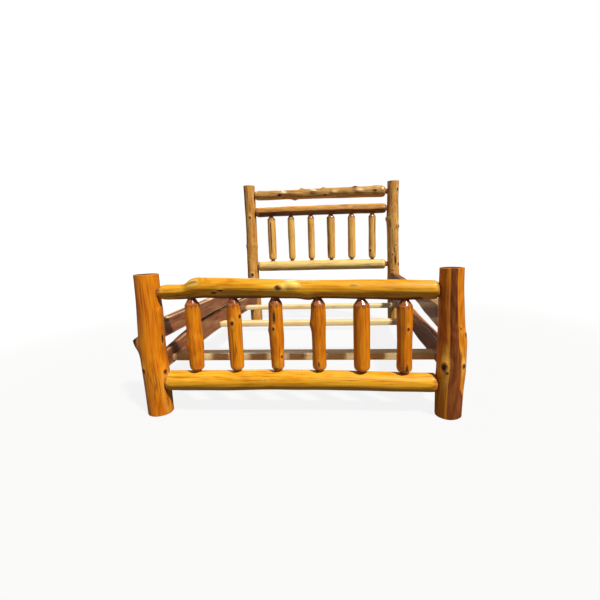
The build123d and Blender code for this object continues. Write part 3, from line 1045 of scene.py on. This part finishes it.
@dataclass
class Footboard(EndBoard):
    """The low end: two posts, two rails and six spindles, in amber varnish."""

    label: str = "foot"
    y: float = -POST_Y
    height: float = 0.789
    slot: str = "amber_log"
    varnish: Wood = AMBER
    spindle_necks: Pair = (0.008, 0.0)
    spindle_seed: float = 6.0

    def posts(self) -> list[Log]:
        """Plan the posts.

        Returns:
            The left post, then the right.
        """
        left = self.post(
            -1, girths=(0.91, 0.935, 0.955, 0.925, 0.905, 0.88, 0.865), wood=AMBER,
            drift_x=(0.03, 0.02, -0.008, -0.04, -0.018, -0.01, -0.012), oval=0.015, turn=20, seed=1.0,
            sides=80, pitch=0.006,
            knots=(
                Knot(0.264, 240, 0.01, 0.003), Knot(0.247, 341, 0.009, 0.003),
                Knot(0.435, 352, 0.007, 0.002, 1.0, 0.35), Knot(0.424, 197, 0.018, 0.0, 1.0, 0.6),
                Knot(0.15, 60, 0.013), Knot(0.52, 120, 0.012, 0.005), Knot(0.68, 40, 0.009, 0.003),
            ),
            lumps=(
                Lump(0.412, 184, 0.026, 0.038, 0.022, 23), Lump(0.431, 184, 0.018, 0.016, 0.012, 18),
                Lump(0.385, 182, 0.009, 0.05, 0.03, 28), Lump(0.585, 350, 0.006, 0.05, 0.03, 30),
                Lump(0.33, 345, -0.004, 0.05, 0.07, 25),
            ),
            bands=(Band(338, 16, 0.0, 0.26, 0.6), Band(150, 20, 0.1, 0.5, 0.9)),
        )
        right = self.post(
            1, girths=(0.985, 1.006, 1.05, 1.01, 0.945, 0.885, 0.85), wood=AMBER,
            drift_x=(0.0, 0.01, 0.052, 0.048, 0.015, -0.008, -0.008), turn=70, seed=2.0, sides=80,
            pitch=0.006,
            knots=(
                Knot(0.285, 232, 0.013, 0.007, 1.0, 0.7, 0.22, 1.0),
                Knot(0.256, 242, 0.006, 0.001, 0.8), Knot(0.449, 325, 0.009, 0.005),
                Knot(0.289, 307, 0.009, 0.006, 1.0, 0.8, 0.35, 0.9),
                Knot(0.486, 296, 0.005, 0.001, 0.7), Knot(0.6, 100), Knot(0.21, 150, 0.011),
                Knot(0.37, 30, 0.01, 0.003),
            ),
            lumps=(Lump(0.41, 350, 0.0055, 0.07, 0.05, 40), Lump(0.3, 215, 0.003, 0.04, 0.04, 25)),
            bands=(
                Band(267, 17, -0.1, 0.9, 1.6), Band(278, 24, -0.1, 0.4, 1.2), Band(300, 26, -0.1, 0.17),
                Band(120, 22, 0.2, 0.9, 1.2),
            ),
        )
        return [left, right]

    def rails(self) -> list[Log]:
        """Plan the cross rails.

        Returns:
            The top rail, then the bottom rail.
        """
        top = self.rail(
            "top", 0.69, 0.677,
            girths=(
                0.77, 0.77, 0.98, 1.06, 1.03, 1.0, 0.98, 0.96, 0.93, 0.93, 0.95, 0.96, 0.97, 0.96, 0.94,
            ),
            drift_x=(
                0.0, 0.02, 0.16, 0.18, 0.16, 0.14, 0.12, 0.105, 0.09, 0.075, 0.06, 0.045, 0.03, 0.015,
                0.0,
            ),
            wood=AMBER_RAIL, seed=3.0, sides=72, pitch=0.006, sapwood=0.015, turn=30, runs=(0.01, 0.01),
            reds=(0.5, 0.6), necks=(0.0, -0.008),
            knots=(
                Knot(0.715, 76, 0.012, 0.009, 1.0, 0.8, 0.4, 0.4),
                Knot(0.365, 118, 0.007, 0.003, 0.9, 0.5), Knot(0.408, 98, 0.006, 0.003, 0.9, 0.4),
                Knot(0.262, 48, 0.009, 0.003, 0.5, 0.25, 0.5, 0.9),
                # Of strength 0: no knot, only a painted highlight on the bump beside the knot before
                # it.
                Knot(0.775, 60, 0.015, 0.0, 0.0, 1.0, 0.5, 0.75),
                Knot(1.1, 60, 0.006, 0.002, 0.35, 0.25), Knot(1.02, 250, 0.012, 0.005),
                Knot(0.55, 280, 0.01),
            ),
            lumps=(
                Lump(0.24, 22, 0.02, 0.028, 0.06), Lump(0.3, 25, 0.004, 0.05, 0.09, 45),
                Lump(0.3, 150, -0.004, 0.06, 0.06, 40), Lump(0.772, 58, 0.014, 0.026, 0.045, 24),
                Lump(0.42, 122, -0.014, 0.3, 0.22, 26), Lump(1.35, 126, -0.008, 0.2, 0.25, 24),
                Lump(0.865, 160, 0.01, 0.045, 0.035, 40), Lump(0.66, 180, -0.004, 0.05, 0.05, 60),
                Lump(1.34, 150, 0.004, 0.1, 0.1, 40),
            ),
            bands=(Band(158, 26, 0.1, 1.5, 0.9), Band(250, 30, 0.2, 1.3, 1.2)),
        )
        bottom = self.rail(
            "bottom", 0.188, 0.177, girths=(1.06, 1.07, 1.06, 1.04, 1.03, 1.01, 1.0, 0.98),
            drift_x=(0.0, 0.03, 0.08, 0.08, 0.03, 0.0), wood=AMBER_RAIL, seed=4.0, sides=72, turn=60,
            waves=0.0016, runs=(0.016, 0.02), reds=(0.5, 0.6), necks=(-0.012, -0.01),
            knots=(
                Knot(0.62, 70, 0.004, 0.001, 0.25, 0.4), Knot(0.4, 250, 0.011), Knot(1.2, 210, 0.01),
            ),
        )
        return [top, bottom]

    def row(self) -> tuple[dict, ...]:
        """Plan the spindles.

        Returns:
            Each spindle's x and form, from left to right.
        """
        return (
            dict(
                x=-0.564, girths=(0.98, 1.02, 1.1, 1.04, 1.0, 0.98, 0.96),
                lumps=(Lump(0.2, 195, 0.006, 0.025, 0.02, 35),),
            ),
            dict(
                x=-0.3361, girths=(0.94, 0.94, 0.95, 0.96, 0.95, 0.94),
                knots=(
                    Knot(0.35, 336, 0.0075, 0.003), Knot(0.318, 268, 0.008, 0.004, 1.0, 0.8, 0.5, 0.6),
                ),
            ),
            dict(
                x=-0.109, girths=(0.92, 0.95, 1.02, 1.0, 0.97, 0.95),
                lumps=(Lump(0.27, 185, 0.006, 0.02, 0.025, 35),),
                knots=(
                    Knot(0.345, 268, 0.006, 0.0, 0.9, 0.2), Knot(0.284, 260, 0.006, 0.003),
                    Knot(0.127, 318, 0.006, 0.002), Knot(0.06, 266, 0.009, 0.002, 0.7, 1.4),
                ),
            ),
            dict(
                x=0.1189, girths=(0.98, 0.95, 0.93, 0.96, 1.02, 0.97),
                lumps=(Lump(0.305, 200, 0.008, 0.03, 0.03, 35),),
                knots=(Knot(0.09, 270, 0.005, 0.001, 0.7, 0.4), Knot(0.295, 190, 0.007, 0.002)),
            ),
            dict(
                x=0.3471, girths=(1.1, 1.1, 1.08, 1.08, 1.09, 1.07),
                knots=(Knot(0.22, 100, 0.008, 0.003),),
            ),
            dict(
                x=0.5711, girths=(1.05, 1.03, 1.02, 1.04, 1.07, 1.05),
                knots=(Knot(0.291, 288, 0.006, 0.003), Knot(0.072, 280, 0.008, 0.0, 0.8, 0.3)),
            ),
        )


@dataclass
class Headboard(EndBoard):
    """The high end: two posts, three rails and six spindles, in clear varnish."""

    label: str = "head"
    y: float = POST_Y
    height: float = 1.585
    slot: str = "golden_log"
    varnish: Wood = HONEY
    spindle_necks: Pair = (0.012, 0.0)
    spindle_seed: float = 30.0

    def posts(self) -> list[Log]:
        """Plan the posts.

        Returns:
            The left post, then the right.
        """
        left = self.post(
            -1, girths=(0.9, 0.9, 0.89, 0.87, 0.86, 0.85, 0.84, 0.84, 0.845), wood=KNOTTY,
            drift_x=(-0.02, -0.03, -0.05, -0.08, -0.078, -0.05, -0.03, -0.032, -0.045), turn=10,
            seed=20.0, waves=0.003,
            knots=(
                Knot(1.231, 275, 0.01, 0.005), Knot(0.582, 272, 0.014, 0.007, 1.0, 0.8, 0.6, 0.6),
                Knot(0.8, 90, 0.012, 0.006), Knot(1.3, 120, 0.012, 0.006),
                Knot(0.25, 200, 0.012, 0.006),
            ),
            lumps=(
                Lump(0.915, 340, 0.006, 0.025, 0.02, 40), Lump(0.915, 195, 0.006, 0.025, 0.02, 40),
                Lump(0.57, 200, 0.004, 0.04, 0.04, 40),
            ),
        )
        right = self.post(
            1, 0.01, girths=(0.91, 0.94, 0.96, 0.94, 0.9, 0.89, 0.94, 0.87, 0.9),
            wood=replace(KNOTTY, light=(0.86, 0.51, 0.14), tone=(0.68, 0.32, 0.065)),
            drift_x=(0.03, 0.02, 0.0, 0.01, -0.03, -0.05, -0.07, -0.06, -0.03), turn=110, seed=21.0,
            waves=0.0026,
            knots=(
                Knot(1.483, 313, 0.011, 0.005), Knot(0.669, 320, 0.011, 0.005),
                Knot(1.088, 325, 0.01, 0.006), Knot(1.171, 190, 0.012, 0.006, 0.8),
                Knot(0.78, 260, 0.007, 0.003, 0.8), Knot(0.88, 290, 0.007, 0.003, 0.8),
                Knot(0.6, 265, 0.007, 0.003, 0.8), Knot(1.12, 240, 0.01, 0.002, 0.5, 0.22, 0.3, 0.5),
                Knot(0.72, 285, 0.01, 0.001, 0.9, 0.2, 0.3, 0.3), Knot(1.3, 100, 0.012, 0.003),
                Knot(0.4, 110, 0.012, 0.002),
            ),
            lumps=(Lump(1.171, 182, 0.01, 0.03, 0.025, 40), Lump(1.09, 330, 0.006, 0.03, 0.03, 35)),
            bands=(Band(215, 26, -0.1, 1.7, 0.55),),
        )
        return [left, right]

    def rails(self) -> list[Log]:
        """Plan the cross rails.

        Returns:
            The top, middle and lower rails.
        """
        top = self.rail(
            "top", 1.475, 1.471, girths=(0.96, 0.98, 1.0, 1.04, 1.03, 1.02, 1.06, 1.08, 1.1, 1.1),
            drift_x=(0.0, 0.01, -0.01, 0.01, 0.0, 0.015, 0.0), wood=UMBER, seed=22.0, sapwood=0.012,
            waves=0.005, oval=0.03, turn=15, necks=(-0.015, 0.018), runs=(0.008, 0.004), pitch=0.006,
            knots=(
                Knot(0.335, 99, 0.014, 0.006, 1.0, 0.7, 0.6, 0.15),
                Knot(0.845, 116, 0.01, 0.005, 0.8, 0.5, 0.6, 0.1),
                Knot(1.174, 40, 0.011, 0.006, 1.0, 0.5, 0.6, 0.1),
                Knot(1.39, 84, 0.011, 0.005, 0.9, 0.6, 0.6, 0.1),
                # The next four, of strength 0, are no knots but painted highlights on the rail's bumps.
                Knot(0.375, 70, 0.01, 0.0, 0.0, 0.7, 0.45, 0.7),
                Knot(0.71, 58, 0.008, 0.0, 0.0, 0.6, 0.35, 0.6),
                Knot(0.95, 84, 0.007, 0.0, 0.0, 0.6, 0.3, 0.5),
                Knot(1.225, 76, 0.008, 0.0, 0.0, 0.6, 0.25, 0.5), Knot(0.6, 250, 0.011, 0.006),
                Knot(1.05, 220, 0.011, 0.006),
            ),
            lumps=(
                Lump(0.37, 78, 0.015, 0.02, 0.035, 24), Lump(0.4, 150, -0.006, 0.06, 0.05, 35),
                Lump(0.576, 5, 0.016, 0.022, 0.03, 35), Lump(0.5, 180, 0.014, 0.03, 0.025, 35),
                Lump(0.45, 120, -0.006, 0.05, 0.05, 35), Lump(0.7, 64, 0.015, 0.02, 0.045, 24),
                Lump(0.82, 15, 0.012, 0.025, 0.03, 35), Lump(0.93, 86, 0.013, 0.02, 0.04, 24),
                Lump(1.05, 110, -0.006, 0.05, 0.05, 35), Lump(1.174, 20, 0.009, 0.03, 0.04, 35),
                Lump(1.2, 80, 0.014, 0.02, 0.05, 24), Lump(1.4, 30, 0.008, 0.03, 0.04, 35),
            ),
        )
        middle = self.rail(
            "middle", 1.292, 1.291, girths=(1.06, 1.05, 1.03, 1.02, 1.02, 1.01, 1.0, 0.99),
            drift_x=(0.0, 0.02, 0.03, 0.02, 0.01, 0.0), wood=GOLDEN, seed=23.0, sapwood=0.012,
            waves=0.004, oval=0.025, turn=45, necks=(-0.017, 0.01), runs=(0.036, 0.01),
            reds=(0.75, 1.0), bands=(Band(128, 36, 0.05, 1.55, 1.3), Band(60, 7, 1.1, 1.55, 1.1)),
            lumps=(Lump(0.92, 130, 0.005, 0.04, 0.04, 30),),
        )
        lower = self.rail(
            "lower", 0.677, 0.672, girths=(1.12, 1.13, 1.12, 1.11, 1.1, 1.08),
            drift_x=(0.0, 0.01, 0.02, 0.02, 0.01, 0.0), wood=STRAW, seed=24.0, oval=0.015, turn=80,
            necks=(-0.018, 0.017), runs=(0.026, 0.004), reds=(0.6, 1.0),
            knots=(Knot(0.5, 250, 0.011), Knot(1.1, 290, 0.011)),
        )
        return [top, middle, lower]

    def row(self) -> tuple[dict, ...]:
        """Plan the spindles.

        Returns:
            Each spindle's x and form, from left to right.
        """
        return (
            dict(
                x=-0.575, girths=(1.07, 1.1, 1.12, 1.13, 1.1, 1.08),
                bands=(Band(268, 14, 0.08, 0.52, 1.3),),
            ),
            dict(x=-0.348, girths=(0.94, 0.93, 0.93, 0.99, 0.97, 0.95)),
            dict(x=-0.1219, girths=(0.97, 0.97, 0.97, 0.96, 0.96, 0.95)),
            dict(
                x=0.1051, girths=(1.14, 1.15, 1.11, 1.14, 1.16, 1.15),
                bands=(Band(235, 40, 0.05, 0.55, 0.75),),
            ),
            dict(x=0.337, girths=(1.06, 1.06, 1.04, 1.03, 1.03, 1.02)),
            dict(
                x=0.5681, girths=(1.03, 1.04, 1.02, 0.99, 1.0, 1.03),
                knots=(Knot(0.14, 235, 0.01, 0.005, 1.0, 0.7, 0.5, 0.6),),
                bands=(Band(320, 25, 0.05, 0.55, 0.8),),
            ),
        )


@dataclass
class SideFrame:
    """The four side rails, the three slats and the steel that holds them."""

    slot: str = "red_heartwood"
    slat_slot: str = "pale_slat"
    housing: float = 0.020

    def rail(
        self, level: str, side: int, height: float, diameter: float, **form: object
    ) -> SideRail:
        """A side rail's log, not yet built.

        Args:
            level: "upper" or "lower".
            side: -1 for the left, 1 for the right.
            height: Its axis's height.
            diameter: What its girths are shares of.
            form: The log's other fields.

        Returns:
            The rail.
        """
        tips = (Vector((side * SIDE_RAIL_X, y, height)) for y in (-SEAT_Y, SEAT_Y))
        values = {
            "wood": SIDE, "slot": self.slot, "ends": (End.PLAIN, End.PLAIN), "sides": 80,
            "pitch": 0.010, "oval": 0.01, "sapwood": 0.009, "waves": 0.004, **form,
        }
        name = f"side_rail_{level}_{SIDES[side]}"
        return SideRail(name, *tips, UP, diameter, side=side, **values)

    def rails(self) -> list[SideRail]:
        """Plan the side rails.

        Returns:
            The upper pair, then the lower pair, each with its left rail first.
        """
        return [
            self.rail(
                "upper", -1, 0.471, 0.117, girths=(0.99, 1.0, 1.01, 1.0, 0.99), sawn_top=0.051,
                seed=40.0, sapwood=0.006, knots=(Knot(0.9, 240), Knot(1.6, 285)),
            ),
            self.rail(
                "upper", 1, 0.506, 0.14, girths=(1.0, 0.9, 0.71, 0.67, 0.66, 0.65, 0.65),
                drift_x=(0.0, 0.07, 0.19, 0.22, 0.22, 0.22, 0.22), seed=41.0,
                bands=(Band(-10, 36, 0.35, 2.3, 1.1),),
                knots=(Knot(0.7, 80, 0.014, 0.005), Knot(1.4, 100)),
            ),
            self.rail(
                "lower", -1, 0.296, 0.14, girths=(0.78, 0.95, 1.1, 1.12, 1.07, 1.01, 1.0),
                drift_x=(-0.06, 0.06, 0.15, 0.16, 0.1, 0.03, 0.0),
                drift_y=(0.0, -0.09, -0.14, -0.157, -0.14, -0.09, 0.0), seed=42.0, waves=0.006,
                lumps=(Lump(0.0, 320, -0.014, 0.1, 0.5, 34),), bands=(Band(2, 30, -0.1, 1.0, 1.1),),
                knots=(Knot(0.6, 250, 0.014, 0.005), Knot(1.3, 300, 0.013, 0.005)),
            ),
            self.rail(
                "lower", 1, 0.306, 0.146, girths=(1.0, 1.01, 1.02, 1.01, 1.0), seed=43.0,
                lumps=(Lump(1.0, 38, -0.02, 3.0, 3.0, 34),), bands=(Band(-10, 44, -0.1, 2.3, 1.1),),
                knots=(Knot(0.5, 100, 0.014, 0.005), Knot(1.5, 60, 0.012, 0.005)),
            ),
        ]

    def slat(self, name: str, seed: float) -> None:
        """Model one board with eased edges and dress it.

        Args:
            name: The CAD node's name.
            seed: Where its grain starts.
        """
        low, high = (Vector(corner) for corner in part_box(name))
        size = high - low
        middle = (low + high) / 2
        bm = bmesh.new()
        scale = Matrix.Diagonal((*size, 1.0))
        bmesh.ops.create_cube(bm, size=1.0, matrix=Matrix.Translation(middle) @ scale)
        ease_edges(bm, bm.edges[:], SLAT_RADIUS, 3)
        long_edges = [e for e in bm.edges if abs(e.verts[0].co.x - e.verts[1].co.x) > 1.0]
        bmesh.ops.subdivide_edges(bm, edges=long_edges, cuts=90, use_grid_fill=True)
        mesh = to_mesh(bm, name)
        mesh.shade_smooth()
        mesh.set_sharp_from_angle(angle=math.radians(35))
        grain, _, neck_and_pocket_shade = wood_attributes(mesh)
        for vert in mesh.vertices:
            off = vert.co - middle
            bow = 0.004 * noise.noise(Vector((off.x * 2.0, seed, 0.0)))
            grain[vert.index].vector = Vector((off.y + 0.03 + bow, off.z + 0.07, off.x))
            # Near the housing line of each end the board is darkened to the neck colour: painted shade
            # of the pocket in its rail.
            past = abs(size.x / 2 - abs(off.x) - self.housing) / 0.006
            neck_and_pocket_shade[vert.index].value = max(0.0, 1.0 - past) * 0.8
        shift = Vector((seed, seed * 0.7, seed * 1.3))
        mesh.materials.append(PINE.material(f"{name}_wood", shift, []))
        shown(linked(f"{name}_board", mesh), name)

    def dress_steel(self) -> None:
        """Give the bolts and nuts their zinc."""
        zinc = Zinc().material()
        for name in ("side_rail_bolts", "side_rail_nuts"):
            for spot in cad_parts[name].material_slots:
                spot.material = zinc
            log.info("%s: dressed", name)

    def build(self) -> None:
        """Model and dress the side frame."""
        for piece in self.rails():
            piece.build()
        for index, name in enumerate(("slat_foot", "slat_middle", "slat_head")):
            self.slat(name, 50.0 + index)
        self.dress_steel()


@dataclass(frozen=True)
class Light:
    """A light: where it hangs and points, its width (degrees for a sun) and its strength."""

    name: str
    kind: str
    place: Vector
    aim: Vector
    width: float
    strength: float
    tint: Colour = (1.0, 1.0, 1.0)

    def hang(self) -> None:
        """Hang the light and point it."""
        data = bpy.data.lights.new(self.name, self.kind)
        if self.kind == "SUN":
            data.angle = math.radians(self.width)
        else:
            data.shape = "DISK"
            data.size = self.width
        data.energy = self.strength
        data.color = self.tint
        lamp = linked(self.name, data)
        lamp.location = self.place
        lamp.rotation_euler = (self.aim - self.place).to_track_quat("-Z", "Y").to_euler()


@dataclass(frozen=True)
class Studio:
    """The pale floor, the lamps, the white surround and the camera."""

    eye: tuple[float, float, float] = (0.27183, -2.8777, 0.93234)
    yaw: float = 4.1977
    pitch: float = 8.6904
    roll: float = -1.6010
    focal: float = 344.37
    centre: tuple[float, float] = (321.81, 295.04)
    image: float = 600.0
    sensor: float = 36.0
    ambient: float = 0.11

    def camera(self) -> None:
        """Set up the camera."""
        data = bpy.data.cameras.new("camera")
        data.sensor_width = self.sensor
        data.lens = self.sensor * self.focal / self.image
        data.shift_x = (self.image / 2 - self.centre[0]) / self.image
        data.shift_y = (self.centre[1] - self.image / 2) / self.image
        camera = linked("camera", data)
        camera.matrix_world = Matrix.Translation(self.eye)
        for degrees, axis in ((self.yaw, "Z"), (90.0 - self.pitch, "X"), (self.roll, "Z")):
            camera.matrix_world @= Matrix.Rotation(math.radians(degrees), 4, axis)
        bpy.context.scene.camera = camera

    def floor(self) -> None:
        """Lay the floor."""
        bm = bmesh.new()
        bmesh.ops.create_grid(bm, x_segments=8, y_segments=8, size=30.0)
        mesh = to_mesh(bm, "floor")
        g = Graph(bpy.data.materials.new("pale_floor"))
        seen = g.node("ShaderNodeLightPath", output="Is Camera Ray")
        shade = g.blend(seen, (0.12, 0.12, 0.12), (0.26, 0.26, 0.26))
        matt = g.node("ShaderNodeBsdfDiffuse", None, {"Color": shade})
        glow = g.node("ShaderNodeEmission", None, {"Color": WHITE, "Strength": 1.12})
        far = g.reach(g.node("ShaderNodeTexCoord", output="Object")).step(2.0, 5.5)
        ends = {0: seen * (far * 0.22 + 0.78), 1: matt, 2: glow}
        mesh.materials.append(g.finish(g.node("ShaderNodeMixShader", None, ends)))
        floor = linked("floor", mesh)

    def surround(self) -> None:
        """Make the world white where it is seen, and soft light elsewhere."""
        world = bpy.data.worlds.new("surround")
        bpy.context.scene.world = world
        g = Graph(world)
        seen = g.node("ShaderNodeLightPath", output="Is Camera Ray")
        soft, white = (
            g.node("ShaderNodeBackground", None, {"Color": WHITE, "Strength": strength})
            for strength in (self.ambient, 1.0)
        )
        g.finish(g.node("ShaderNodeMixShader", None, {0: seen, 1: soft, 2: white}), "World")

    def build(self) -> None:
        """Set up the studio."""
        bpy.context.scene.view_settings.view_transform = "Standard"
        self.camera()
        self.floor()
        self.surround()
        aim = Vector((0.0, -0.4, 0.5))
        sun = Vector((0.4255, -0.397, 0.813)) * 6.0
        lights = (
            Light("key", "SUN", sun, Vector(), 5.0, 4.75, (1.0, 0.97, 0.92)),
            Light("fill", "AREA", Vector((-3.5, -4.5, 2.2)), aim, 3.0, 16.0),
            Light("back", "AREA", Vector((-1.5, 4.5, 3.5)), aim, 2.5, 70.0),
        )
        for light in lights:
            light.hang()
        log.info("studio: %d lights", len(lights))


def main() -> None:
    """Build the bed and its studio in order."""
    logging.basicConfig(level=logging.INFO, format="%(message)s")
    Studio().build()
    for part in (Footboard(), Headboard(), SideFrame()):
        part.build()
        log.info("%s done", type(part).__name__)


if __name__ == "__main__":
    main()
